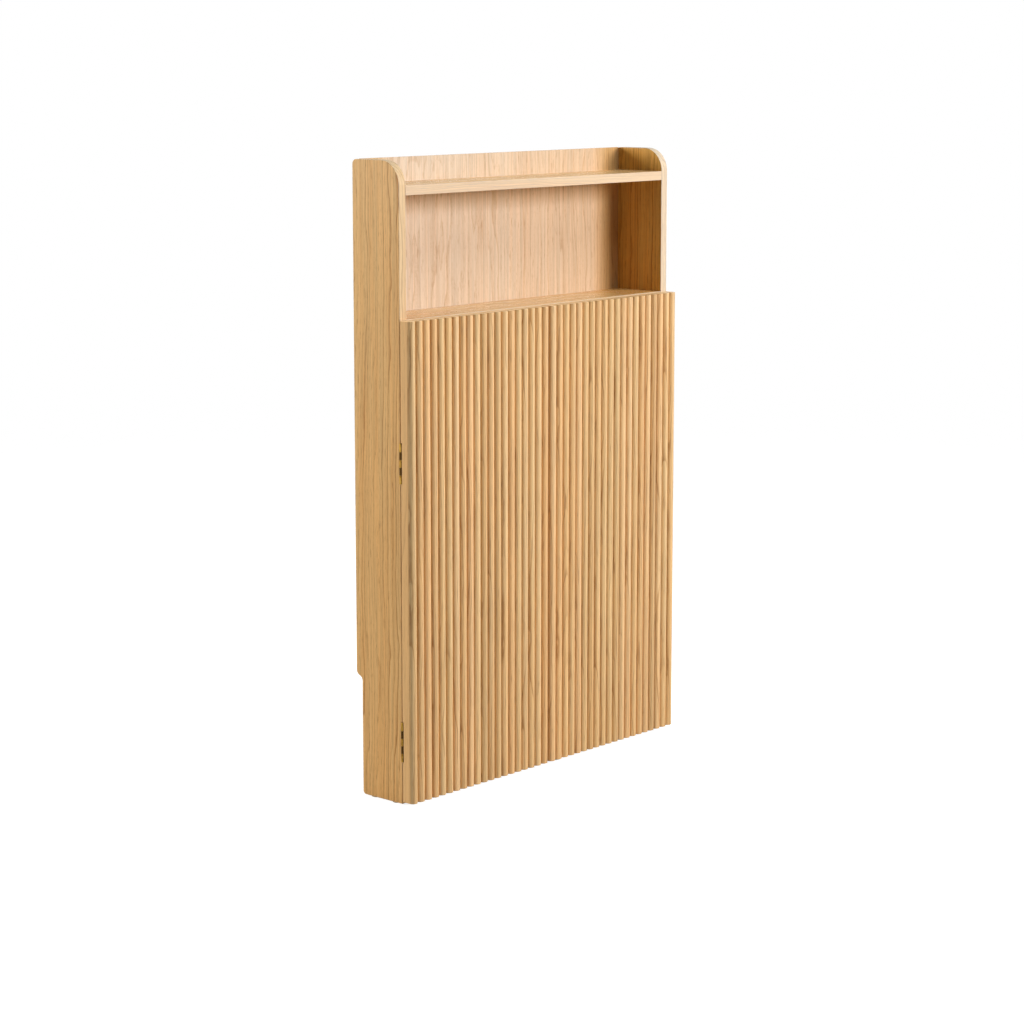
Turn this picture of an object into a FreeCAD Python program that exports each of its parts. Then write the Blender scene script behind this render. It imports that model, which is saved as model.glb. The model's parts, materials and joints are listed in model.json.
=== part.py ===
import FreeCAD, Part
import math
import os
import Sketcher

# Fold down wall desk: a slim cabinet that stands on the floor against a wall. Two fluted doors on brass
# butt hinges swing out as legs, and a desk leaf that hangs behind them lifts on to the doors' cleats.
# X runs to the right, Y towards the wall, Z up, in millimetres. The origin is on the floor, midway
# between the sides and midway between the slats' crests and the rear edges of the sides.

SIZES = {
    # carcass
    "height": 1000,  # floor to the top of the side panels
    "width": 650,  # over the outer faces of the side panels
    "side_depth": 98.5,  # front edge to rear edge of a side panel
    "board": 15,  # thickness of every carcass board
    "back_sheet": 4,  # thickness of the back panels
    "deck_height": 759,  # floor to the top of the deck under the niche
    "tray_depth": 38,  # top of the sides down to the top of the shelf
    "bottom_rise": 30,  # floor to the underside of the bottom board
    "notch_height": 201,  # floor to the top of the skirting notch
    "notch_depth": 12.5,
    "notch_run": 17,  # height of the curve at the top of the notch
    "front_radius": 38,  # rounded top front corner of a side panel
    "rear_radius": 8,  # rounded top rear corner of a side panel
    "heel_radius": 6,  # rounded bottom rear corner of a side panel
    "batten_height": 25,
    "rail_height": 60,
    "rail_over_leaf_end": 40,  # middle of the lower rail above the end of the hanging leaf
    # wall fixing
    "wall_hole_radius": 2.75,
    "wall_hole_spacing": 400,
    # doors
    "door_gap": 1,  # between the carcass front and the doors
    "door_board": 15,
    "door_drop": 1,  # door top below the deck top
    "door_lift": 5,  # door bottom above the floor
    "centre_gap": 5,
    "slat_count": 20,
    "slat_width": 14.6,
    "slat_proud": 7,
    "slat_shoulder": 0.8,
    # hinges
    "hinge_below_top": 219,  # middle of the upper hinge under the door's top
    "hinge_above_foot": 96,  # middle of the lower hinge over the door's bottom
    "hinge_length": 60,
    "hinge_reach": 13.5,  # hinge axis to the far edge of a plate
    "hinge_plate": 1.5,
    "knuckle_radius": 2,
    "knuckle_gap": 0.2,
    "pin_radius": 1,
    "pin_head_radius": 1.8,
    "pin_head": 1.6,
    "running_clear": 0.05,
    "recess_clear": 0.4,
    # screws and dowels
    "screw_radius": 1.3,
    "screw_head_radius": 2.6,
    "screw_head_depth": 1.4,
    "screw_length": 12.5,
    "screw_pitch": 20,  # between the screws of a hinge plate
    "screw_inset": 8.4,  # hinge axis to the screws
    "dowel_radius": 4,
    "dowel_in_side": 9,
    "dowel_in_board": 20,
    "dowel_inset": 25,  # board edge to a dowel
    "fit_clear": 0.1,
    # leaf
    "leaf_board": 16,
    "leaf_over_batten": 56,  # top of the step batten to the end of the hanging leaf
    "leaf_side_clear": 2,
    "lipping": 10,
    "lipping_radius": 4,
    "pivot_back": 63,  # carcass front to the pivot axis
    "pivot_drop": 10,  # deck underside to the pivot axis
    "pivot_radius": 4,
    "pivot_in_leaf": 30,
    "bush_wall": 3,
    "bush_depth": 12,
    "bush_rim": 2,
    "bush_rim_thick": 1,
    "bumper_radius": 6,
    "bumper_spread": 150,  # middle to each bumper
    "touch_clear": 0.3,
    # door cleats
    "cleat_proud": 38,
    "cleat_height": 20,
    "cleat_free": 41.5,  # door's free edge to the far end of a cleat
    "cleat_inset": 22,  # hinge axis to the near end of a cleat
    "leaf_seat": 0.4,  # raised leaf over the cleats
    # catches, glides
    "catch_length": 40,
    "catch_height": 14,
    "catch_depth": 22,
    "catch_from_middle": 20,
    "strike_thick": 1.2,
    "strike_margin": 4,
    "glide_radius": 6,
    "glide_height": 2,
    "glide_inset": 20,
    "foot_radius": 6,
    "foot_air": 1,  # door glide over the floor
    "foot_stem_radius": 2.5,
    "foot_stem": 12,
    "foot_inset": 30,  # door's free edge to its glide
    # back panel screws
    "sheet_screw_near": 110,  # middle to the inner screws
    "sheet_screw_inset": 30,  # side panel to the outer screws
}
KNUCKLES = 5


class Formula:
    """A size: its value now, and the sheet formula that keeps it true when a cell changes."""

    def __init__(self, value, text):
        self.value = value
        self.text = text

    def __add__(self, other):
        other = formula(other)
        return Formula(self.value + other.value, f"({self.text} + {other.text})")

    def __sub__(self, other):
        other = formula(other)
        return Formula(self.value - other.value, f"({self.text} - {other.text})")

    def __mul__(self, other):
        other = formula(other)
        return Formula(self.value * other.value, f"({self.text} * {other.text})")

    def __truediv__(self, other):
        other = formula(other)
        return Formula(self.value / other.value, f"({self.text} / {other.text})")

    def __neg__(self):
        return formula(0) - self

    __radd__ = __add__
    __rmul__ = __mul__


def formula(item):
    """A plain number as a formula; a formula as it is."""
    if isinstance(item, Formula):
        return item
    return Formula(float(item), str(float(item)))


class Sizes:
    """The sheet's cells, each read by its alias."""

    def __init__(self, document):
        self.sheet = document.addObject("Spreadsheet::Sheet", "Sizes")
        for row, (name, value) in enumerate(SIZES.items(), start=1):
            self.sheet.set(f"A{row}", name)
            self.sheet.set(f"B{row}", str(value))
            self.sheet.setAlias(f"B{row}", name)
            setattr(self, name, Formula(float(value), f"Sizes.{name}"))


doc = FreeCAD.newDocument("fold_down_wall_desk")
size = Sizes(doc)
doc.recompute()
nodes = []

# Planes and heights that several pieces share
half_width = size.width / 2
half_inside = half_width - size.board
front = (size.slat_proud + size.door_board + size.door_gap - size.side_depth) / 2
rear = front + size.side_depth
back_face = rear - size.back_sheet
rail_face = back_face - size.board
notch_face = rear - size.notch_depth
deck_under = size.deck_height - size.board
shelf_top = size.height - size.tray_depth
door_back = front - size.door_gap
door_front = door_back - size.door_board
door_top = size.deck_height - size.door_drop
door_height = door_top - size.door_lift
door_width = half_width - size.centre_gap / 2
slat_pitch = (door_width - size.slat_width) / (size.slat_count - 1)
hinge_y = front - size.door_gap / 2
hinge_levels = {"upper": door_top - size.hinge_below_top, "lower": size.door_lift + size.hinge_above_foot}
recess_radius = size.knuckle_radius + size.recess_clear
pivot_y = front + size.pivot_back
pivot_z = deck_under - size.pivot_drop
leaf_half = half_inside - size.leaf_side_clear
leaf_end = size.notch_height + size.batten_height + size.leaf_over_batten
leaf_back = pivot_y + size.leaf_board / 2
rail_levels = {"upper": deck_under - size.rail_height / 2, "lower": leaf_end + size.rail_over_leaf_end}
sides = {"left": -1, "right": 1}


def outward(side, near, far):
    """The span between two distances from the middle plane, on the left (-1) or the right (1)."""
    if side < 0:
        return -formula(far), -formula(near)
    return formula(near), formula(far)


def keep(obj, label):
    """Name a finished sub-part and add it to the list that is written out."""
    obj.Label = label
    nodes.append(obj)
    return obj


def place(obj, x, y, z):
    """Tie an object's place to three formulas."""
    for axis, value in zip("xyz", (x, y, z)):
        obj.setExpression(f"Placement.Base.{axis}", formula(value).text)


def block(name, x, y, z):
    """A rectangular piece between two planes on each axis."""
    box = doc.addObject("Part::Box", name)
    for measure, (low, high) in zip(("Length", "Width", "Height"), (x, y, z)):
        box.setExpression(measure, (formula(high) - low).text)
    place(box, x[0], y[0], z[0])
    return box


TURN = {
    "x": FreeCAD.Rotation(FreeCAD.Vector(0, 1, 0), 90),
    "y": FreeCAD.Rotation(FreeCAD.Vector(1, 0, 0), -90),
    "z": FreeCAD.Rotation(),
}


def lay_along(obj, axis, span, centre):
    """Lay a round piece along an axis, from span[0] to span[1], through a point on the other two axes."""
    obj.setExpression("Height", (formula(span[1]) - span[0]).text)
    obj.Placement = FreeCAD.Placement(FreeCAD.Vector(), TURN[axis])
    where = list(centre)
    where.insert("xyz".index(axis), span[0])
    place(obj, *where)
    return obj


def rod(name, axis, radius, span, centre):
    """A cylinder along an axis."""
    cylinder = doc.addObject("Part::Cylinder", name)
    cylinder.setExpression("Radius", formula(radius).text)
    return lay_along(cylinder, axis, span, centre)


def taper(name, axis, radii, span, centre):
    """A cone along an axis, with the radius at each end of the span."""
    cone = doc.addObject("Part::Cone", name)
    for measure, radius in zip(("Radius1", "Radius2"), radii):
        cone.setExpression(measure, formula(radius).text)
    return lay_along(cone, axis, span, centre)


def fuse(name, pieces):
    """Several overlapping pieces as one solid."""
    whole = doc.addObject("Part::MultiFuse", name)
    whole.Shapes = pieces
    return whole


def group(name, pieces):
    """Identical loose pieces that share one node."""
    compound = doc.addObject("Part::Compound", name)
    compound.Links = pieces
    return compound


def cut(name, base, tools):
    """A piece with all its holes and recesses taken out."""
    result = doc.addObject("Part::Cut", name)
    result.Base = base
    result.Tool = fuse(f"{name}_tools", tools) if len(tools) > 1 else tools[0]
    return result


def arc_middle(start, end, radius, side):
    """A point on the arc between two points that bulges to the right (1) or left (-1) of the way."""
    along = end - start
    sagitta = radius - math.sqrt(max(radius ** 2 - (along.Length / 2) ** 2, 0))
    across = FreeCAD.Vector(along.y, -along.x, 0).normalize()
    return (start + end) * 0.5 + across * (side * sagitta)


def outline(body, role, corners, bends):
    """Draw a closed outline on one of the body's own planes.

    corners are pairs of formulas, in order. bends gives the edges that are arcs, by the number of the
    corner they leave: a radius, and 1 where the arc bulges to the right of the way or -1 to the left.
    """
    sketch = body.newObject("Sketcher::SketchObject", f"{body.Name}_outline")
    plane = next(item for item in body.Origin.OriginFeatures if item.Role == role)
    sketch.AttachmentSupport = [(plane, "")]
    sketch.MapMode = "FlatFace"
    points = [FreeCAD.Vector(formula(a).value, formula(b).value, 0) for a, b in corners]
    ends = []
    for number, start in enumerate(points):
        end = points[(number + 1) % len(points)]
        edge = Part.LineSegment(start, end)
        order = (1, 2)
        if number in bends:
            radius, side = bends[number]
            middle = arc_middle(start, end, radius.value, side)
            # a sketch's arcs run counterclockwise, so an arc that turns the other way starts at its far end
            edge = Part.Arc(start, middle, end) if side > 0 else Part.Arc(end, middle, start)
            order = (1, 2) if side > 0 else (2, 1)
        sketch.addGeometry(edge, False)
        ends.append(order)
    for number, (across, up) in enumerate(corners):
        begin = ends[number][0]
        before = number - 1 if number else len(corners) - 1
        sketch.addConstraint(Sketcher.Constraint("Coincident", before, ends[before][1], number, begin))
        for kind, axis, value in (("DistanceX", -2, across), ("DistanceY", -1, up)):
            if not isinstance(value, Formula):
                sketch.addConstraint(Sketcher.Constraint("PointOnObject", number, begin, axis))
                continue
            mark = sketch.addConstraint(Sketcher.Constraint(kind, -1, 1, number, begin, value.value))
            sketch.setExpression(f"Constraints[{mark}]", value.text)
        if number in bends:
            radius = bends[number][0]
            mark = sketch.addConstraint(Sketcher.Constraint("Radius", number, radius.value))
            sketch.setExpression(f"Constraints[{mark}]", radius.text)
    return sketch


def extrude(name, role, corners, bends, length, where):
    """A body with one outline and one pad, at a place."""
    body = doc.addObject("PartDesign::Body", name)
    sketch = outline(body, role, corners, bends)
    pad = body.newObject("PartDesign::Pad", f"{name}_pad")
    pad.Profile = sketch
    pad.setExpression("Length", length.text)
    sketch.Visibility = False
    place(body, *where)
    return body, sketch, pad


def screw(name, way, face, centre, clear=0):
    """A countersunk screw from a face along +Y (way 1) or -Y (way -1); with clear, the hole for it."""
    radius = size.screw_radius + clear
    head_radius = size.screw_head_radius + clear
    neck = face + way * size.screw_head_depth
    tip = face + way * (size.screw_length + clear)
    shank_span = (face, tip) if way > 0 else (tip, face)
    head_span = (face, neck) if way > 0 else (neck, face)
    head_radii = (head_radius, radius) if way > 0 else (radius, head_radius)
    shank = rod(f"{name}_shank", "y", radius, shank_span, centre)
    head = taper(f"{name}_head", "y", head_radii, head_span, centre)
    return fuse(name, [shank, head])


def side_dowel(name, side, y, z):
    """A dowel across a side panel's inner face, and the socket that both boards have for it."""
    near = half_inside - size.dowel_in_board
    far = half_inside + size.dowel_in_side
    peg = rod(name, "x", size.dowel_radius, outward(side, near, far), (y, z))
    wide = size.dowel_radius + size.fit_clear
    span = outward(side, near - size.fit_clear, far + size.fit_clear)
    return peg, rod(f"{name}_socket", "x", wide, span, (y, z))


def dowelled(name, label, low_y, high_y, low_z, high_z, places, extra):
    """A cross board held to both side panels by dowels; its sockets also go to the side panels."""
    blank = block(f"{name}_blank", (-half_inside, half_inside), (low_y, high_y), (low_z, high_z))
    pegs = []
    sockets = []
    for word, side in sides.items():
        for number, (y, z) in enumerate(places):
            peg, socket = side_dowel(f"{name}_dowel_{word}_{number}", side, y, z)
            pegs.append(peg)
            sockets.append(socket)
            side_tools[word].append(socket)
    keep(cut(name, blank, sockets + extra), name)
    dowel_sets.setdefault(label, []).extend(pegs)


side_tools = {"left": [], "right": []}
door_tools = {"left": [], "right": []}
dowel_sets = {}

# Screws through the back panel into the two rails, and the holes for screws into the wall
sheet_screws = []
sheet_holes = []
rail_holes = {"upper": [], "lower": []}
for level, z in rail_levels.items():
    for spread in (size.sheet_screw_near, half_inside - size.sheet_screw_inset):
        for word, side in sides.items():
            name = f"sheet_screw_{level}_{word}_{len(sheet_screws)}"
            spot = (side * spread, z)
            sheet_screws.append(screw(name, -1, rear, spot))
            hole = screw(f"{name}_hole", -1, rear, spot, size.fit_clear)
            sheet_holes.append(hole)
            rail_holes[level].append(hole)
    for word, side in sides.items():
        spot = (side * size.wall_hole_spacing / 2, z)
        hole = rod(f"wall_hole_{level}_{word}", "y", size.wall_hole_radius, (rail_face, rear), spot)
        sheet_holes.append(hole)
        rail_holes[level].append(hole)

# Cross boards
deep_places = (front + size.dowel_inset, back_face - size.dowel_inset)
for name, label, top in (
    ("top_shelf", "shelf_dowels", shelf_top),
    ("niche_deck", "deck_dowels", size.deck_height),
):
    middle = top - size.board / 2
    spots = [(y, middle) for y in deep_places]
    dowelled(name, label, front, back_face, top - size.board, top, spots, [])

bottom_back = notch_face - size.back_sheet
bottom_top = size.bottom_rise + size.board
spots = [
    (y, size.bottom_rise + size.board / 2)
    for y in (front + size.dowel_inset, bottom_back - size.dowel_inset)
]
dowelled("bottom_board", "bottom_dowels", front, bottom_back, size.bottom_rise, bottom_top, spots, [])

rail_middle = rail_face + size.board / 2
for level, z in rail_levels.items():
    low = z - size.rail_height / 2
    spots = [(rail_middle, z + way * size.rail_height / 4) for way in (-1, 1)]
    name = f"{level}_fixing_rail"
    dowelled(name, "rail_dowels", rail_face, back_face, low, low + size.rail_height, spots, rail_holes[level])

batten_top = size.notch_height + size.batten_height
spots = [(rail_middle, size.notch_height + size.batten_height / 2)]
dowelled("step_batten", "batten_dowels", rail_face, back_face, size.notch_height, batten_top, spots, [])

for label, pegs in dowel_sets.items():
    keep(group(label, pegs), label)

# Back panels
inside = (-half_inside, half_inside)
sheet = block("back_panel_blank", inside, (back_face, rear), (size.notch_height, size.height))
keep(cut("back_panel", sheet, sheet_holes), "back_panel")
keep(group("back_panel_screws", sheet_screws), "back_panel_screws")
lower_span = (size.bottom_rise, size.notch_height)
keep(block("lower_back_panel", inside, (bottom_back, notch_face), lower_span), "lower_back_panel")

# Leaf: hangs on two pins that turn in bushes let into the side panels
leaf_board_length = pivot_z - leaf_end - size.lipping
leaf_half_thick = size.leaf_board / 2
leaf_blank, _, _ = extrude(
    "desk_leaf_blank",
    "YZ_Plane",
    [
        (0, 0),
        (size.leaf_board, 0),
        (size.leaf_board, leaf_board_length),
        (leaf_half_thick, leaf_board_length + leaf_half_thick),
        (0, leaf_board_length),
    ],
    {2: (leaf_half_thick, 1), 3: (leaf_half_thick, 1)},
    leaf_half * 2,
    (-leaf_half, pivot_y - leaf_half_thick, leaf_end + size.lipping),
)
lipping, _, _ = extrude(
    "leaf_front_lipping",
    "YZ_Plane",
    [
        (size.lipping_radius, 0),
        (size.leaf_board - size.lipping_radius, 0),
        (size.leaf_board, size.lipping_radius),
        (size.leaf_board, size.lipping),
        (0, size.lipping),
        (0, size.lipping_radius),
    ],
    {1: (size.lipping_radius, 1), 5: (size.lipping_radius, 1)},
    leaf_half * 2,
    (-leaf_half, pivot_y - leaf_half_thick, leaf_end),
)
keep(lipping, "leaf_front_lipping")

pins = []
pin_sockets = []
bushes = []
bush_radius = size.pivot_radius + size.running_clear + size.bush_wall
for word, side in sides.items():
    spot = (pivot_y, pivot_z)
    near = leaf_half - size.pivot_in_leaf
    far = half_inside + size.bush_depth - size.running_clear
    pins.append(rod(f"pivot_pin_{word}", "x", size.pivot_radius, outward(side, near, far), spot))
    wide = size.pivot_radius + size.running_clear
    socket_span = outward(side, near - size.running_clear, half_width)
    pin_sockets.append(rod(f"pivot_socket_{word}", "x", wide, socket_span, spot))
    shell_span = outward(side, half_inside, half_inside + size.bush_depth)
    rim_span = outward(side, half_inside - size.bush_rim_thick, half_inside)
    shell = rod(f"bush_shell_{word}", "x", bush_radius, shell_span, spot)
    rim = rod(f"bush_rim_{word}", "x", bush_radius + size.bush_rim, rim_span, spot)
    bore_span = outward(side, half_inside - size.bush_rim_thick, half_inside + size.bush_depth)
    bore = rod(f"bush_bore_{word}", "x", wide, bore_span, spot)
    bushes.append(cut(f"bush_{word}", fuse(f"bush_blank_{word}", [shell, rim]), [bore]))
    hole_span = outward(side, half_inside, half_inside + size.bush_depth + size.fit_clear)
    hole = rod(f"bush_hole_{word}", "x", bush_radius + size.fit_clear, hole_span, spot)
    side_tools[word].append(hole)
keep(cut("desk_leaf", leaf_blank, pin_sockets), "desk_leaf")
keep(group("leaf_pivot_pins", pins), "leaf_pivot_pins")
keep(group("leaf_pivot_bushes", bushes), "leaf_pivot_bushes")

bumpers = []
for word, side in sides.items():
    span = (leaf_back + size.touch_clear, rail_face)
    spot = (side * size.bumper_spread, rail_levels["lower"])
    bumpers.append(rod(f"bumper_{word}", "y", size.bumper_radius, span, spot))
keep(group("leaf_bumpers", bumpers), "leaf_bumpers")


def knuckle_spans(level_z, turns):
    """The heights of the knuckles with these numbers, counted up from the hinge's lower end."""
    step = size.hinge_length / KNUCKLES
    low = level_z - size.hinge_length / 2
    half_gap = size.knuckle_gap / 2
    return [(low + step * n + half_gap, low + step * (n + 1) - half_gap) for n in turns]


def hinge_leaf(name, side, level_z, face, way, turns):
    """One leaf of a butt hinge: a plate let in from a face along way, with its own knuckles."""
    axis = (side * half_width, hinge_y)
    low = level_z - size.hinge_length / 2
    high = level_z + size.hinge_length / 2
    bottom = face + way * size.hinge_plate
    plate_y = (face, bottom) if way > 0 else (bottom, face)
    plate_x = outward(side, half_width - size.hinge_reach, half_width - recess_radius)
    solids = [block(f"{name}_plate", plate_x, plate_y, (low, high))]
    tab_x = outward(side, half_width - recess_radius, half_width)
    for number, span in enumerate(knuckle_spans(level_z, turns)):
        solids.append(block(f"{name}_tab_{number}", tab_x, plate_y, span))
        solids.append(rod(f"{name}_knuckle_{number}", "z", size.knuckle_radius, span, axis))
    bore = rod(f"{name}_bore", "z", size.pin_radius + size.running_clear, (low, high), axis)
    screws = []
    holes = []
    for number in (-1, 0, 1):
        spot = (side * (half_width - size.screw_inset), level_z + number * size.screw_pitch)
        screws.append(screw(f"{name}_screw_{number + 1}", way, face, spot))
        holes.append(screw(f"{name}_hole_{number + 1}", way, face, spot, size.running_clear))
    keep(cut(name, fuse(f"{name}_blank", solids), [bore] + holes), name)
    mortise_x = outward(side, half_width - size.hinge_reach - size.fit_clear, half_width)
    mortise_z = (low - size.fit_clear, high + size.fit_clear)
    mortise = block(f"{name}_mortise", mortise_x, plate_y, mortise_z)
    return screws, [mortise] + holes


def hinge_pin(name, side, level_z):
    """The pin of a butt hinge with a button at each end, and the round recess that clears the barrel."""
    axis = (side * half_width, hinge_y)
    low = level_z - size.hinge_length / 2 + size.knuckle_gap / 2
    high = level_z + size.hinge_length / 2 - size.knuckle_gap / 2
    shaft = rod(f"{name}_shaft", "z", size.pin_radius, (low - size.pin_head, high + size.pin_head), axis)
    foot = rod(f"{name}_foot", "z", size.pin_head_radius, (low - size.pin_head, low), axis)
    cap = rod(f"{name}_cap", "z", size.pin_head_radius, (high, high + size.pin_head), axis)
    keep(fuse(name, [shaft, foot, cap]), name)
    reach = size.pin_head + size.recess_clear
    return rod(f"{name}_recess", "z", recess_radius, (low - reach, high + reach), axis)


# Hinges: the outer knuckles belong to the cabinet, the two between them to the door
for word, side in sides.items():
    frame_screws = []
    door_screws = []
    for level, z in hinge_levels.items():
        stem = f"{word}_{level}_hinge"
        recess = hinge_pin(f"{stem}_pin", side, z)
        screws, tools = hinge_leaf(f"{stem}_cabinet_leaf", side, z, front, 1, (0, 2, 4))
        frame_screws.extend(screws)
        side_tools[word].extend(tools + [recess])
        screws, tools = hinge_leaf(f"{stem}_door_leaf", side, z, door_back, -1, (1, 3))
        door_screws.extend(screws)
        door_tools[word].extend(tools + [recess])
    keep(group(f"{word}_hinge_cabinet_screws", frame_screws), f"{word}_hinge_cabinet_screws")
    keep(group(f"{word}_hinge_door_screws", door_screws), f"{word}_hinge_door_screws")

# Side panels: one outline with the rounded top and the skirting notch
notch_wall = size.side_depth - size.notch_depth
bend_start = size.notch_height - size.notch_run
half_run = size.notch_run / 2
half_notch = size.notch_depth / 2
bend_radius = (half_run * half_run + half_notch * half_notch) / size.notch_depth
for word, side in sides.items():
    blank, _, _ = extrude(
        f"{word}_side_blank",
        "YZ_Plane",
        [
            (0, size.glide_height),
            (notch_wall - size.heel_radius, size.glide_height),
            (notch_wall, size.glide_height + size.heel_radius),
            (notch_wall, bend_start),
            (notch_wall + half_notch, bend_start + half_run),
            (size.side_depth, size.notch_height),
            (size.side_depth, size.height - size.rear_radius),
            (size.side_depth - size.rear_radius, size.height),
            (size.front_radius, size.height),
            (0, size.height - size.front_radius),
        ],
        {
            1: (size.heel_radius, 1),
            3: (bend_radius, -1),
            4: (bend_radius, 1),
            6: (size.rear_radius, 1),
            8: (size.front_radius, 1),
        },
        size.board,
        (outward(side, half_inside, half_width)[0], front, 0),
    )
    keep(cut(f"{word}_side_panel", blank, side_tools[word]), f"{word}_side_panel")

# Floor glides under the side panels
glides = []
for word, side in sides.items():
    for end, y in (("front", front + size.glide_inset), ("rear", notch_face - size.glide_inset)):
        spot = (side * (half_width - size.board / 2), y)
        glides.append(rod(f"glide_{word}_{end}", "z", size.glide_radius, (0, size.glide_height), spot))
keep(group("floor_glides", glides), "floor_glides")


def door_slats(name, side):
    """The half-round slats of one door: one section, padded to the door's height and repeated."""
    sagitta = size.slat_proud - size.slat_shoulder
    half_slat = size.slat_width / 2
    radius = (half_slat * half_slat + sagitta * sagitta) / (sagitta * 2)
    start = outward(side, size.centre_gap / 2, half_width)[0]
    body, sketch, pad = extrude(
        name,
        "XY_Plane",
        [
            (0, size.slat_proud),
            (0, sagitta),
            (half_slat, 0),
            (size.slat_width, sagitta),
            (size.slat_width, size.slat_proud),
        ],
        {1: (radius, 1), 2: (radius, 1)},
        door_height,
        (start, door_front - size.slat_proud, size.door_lift),
    )
    doc.recompute()
    pattern = body.newObject("PartDesign::LinearPattern", f"{name}_pattern")
    pattern.Originals = [pad]
    pattern.Direction = (sketch, ["H_Axis"])
    pattern.setExpression("Length", (slat_pitch * (size.slat_count - 1)).text)
    pattern.setExpression("Occurrences", size.slat_count.text)
    body.Tip = pattern
    return body


cleat_top = pivot_z - leaf_half_thick - size.leaf_seat
cleat_middle = cleat_top - size.cleat_height / 2
catches = []
for word, side in sides.items():
    # cleat that carries the raised leaf, dowelled to the back of the door
    far = half_width - size.cleat_inset
    near = size.centre_gap / 2 + size.cleat_free
    span_z = (cleat_top - size.cleat_height, cleat_top)
    span_y = (door_back, door_back + size.cleat_proud)
    blank = block(f"{word}_cleat_blank", outward(side, near, far), span_y, span_z)
    pegs = []
    sockets = []
    for number, at in enumerate((near + size.dowel_inset, (near + far) / 2, far - size.dowel_inset)):
        spot = (side * at, cleat_middle)
        low = door_back - size.dowel_in_side
        high = door_back + size.dowel_in_board
        peg = f"{word}_cleat_dowel_{number}"
        pegs.append(rod(peg, "y", size.dowel_radius, (low, high), spot))
        span = (low - size.fit_clear, high + size.fit_clear)
        sockets.append(rod(f"{peg}_socket", "y", size.dowel_radius + size.fit_clear, span, spot))
    keep(cut(f"{word}_support_cleat", blank, sockets), f"{word}_support_cleat")
    keep(group(f"{word}_cleat_dowels", pegs), f"{word}_cleat_dowels")

    # glide under the free edge of the door
    spot = (side * (size.centre_gap / 2 + size.foot_inset), (door_back + door_front) / 2)
    pad_span = (size.foot_air, size.door_lift)
    stem_span = (size.door_lift, size.door_lift + size.foot_stem)
    pad = rod(f"{word}_foot_pad", "z", size.foot_radius, pad_span, spot)
    stem = rod(f"{word}_foot_stem", "z", size.foot_stem_radius, stem_span, spot)
    keep(fuse(f"{word}_door_glide", [pad, stem]), f"{word}_door_glide")
    hole_span = (size.door_lift, size.door_lift + size.foot_stem + size.fit_clear)
    stem_hole = rod(f"{word}_stem_hole", "z", size.foot_stem_radius + size.fit_clear, hole_span, spot)

    # catch on the bottom board, and the steel plate that it holds
    catch_x = outward(side, size.catch_from_middle, size.catch_from_middle + size.catch_length)
    strike_face = door_back + size.strike_thick
    catch_y = (strike_face + size.touch_clear, strike_face + size.touch_clear + size.catch_depth)
    catch_z = (bottom_top, bottom_top + size.catch_height)
    catches.append(block(f"{word}_catch", catch_x, catch_y, catch_z))
    near = size.catch_from_middle + size.strike_margin
    far = size.catch_from_middle + size.catch_length - size.strike_margin
    strike_z = (bottom_top + size.touch_clear, bottom_top + size.catch_height)
    strike = block(f"{word}_strike_plate", outward(side, near, far), (door_back, strike_face), strike_z)
    keep(strike, f"{word}_strike_plate")

    # door board and its slats
    door_x = outward(side, size.centre_gap / 2, half_width)
    blank = block(f"{word}_door_blank", door_x, (door_front, door_back), (size.door_lift, door_top))
    tools = door_tools[word] + sockets + [stem_hole]
    keep(cut(f"{word}_door_board", blank, tools), f"{word}_door_board")
    keep(door_slats(f"{word}_door_slats", side), f"{word}_door_slats")
keep(group("magnetic_catches", catches), "magnetic_catches")

# Build, test every object, then write one file for each sub-part
doc.recompute()
for obj in doc.Objects:
    if "Invalid" in obj.State or "Error" in obj.State:
        raise RuntimeError(f"{obj.Label} did not build: {obj.State}")
for node in nodes:
    if node.Shape.isNull() or not node.Shape.isValid():
        raise RuntimeError(f"{node.Label} has no valid shape")
os.makedirs("parts", exist_ok=True)
for node in nodes:
    node.Shape.exportStep(f"parts/{node.Label}.step")
    print(node.Label, len(node.Shape.Solids), round(node.Shape.Volume))
print(len(nodes), "nodes")
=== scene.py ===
import json
import math
from dataclasses import dataclass, replace

import bmesh
import bpy
from mathutils import Matrix, Vector


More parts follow.
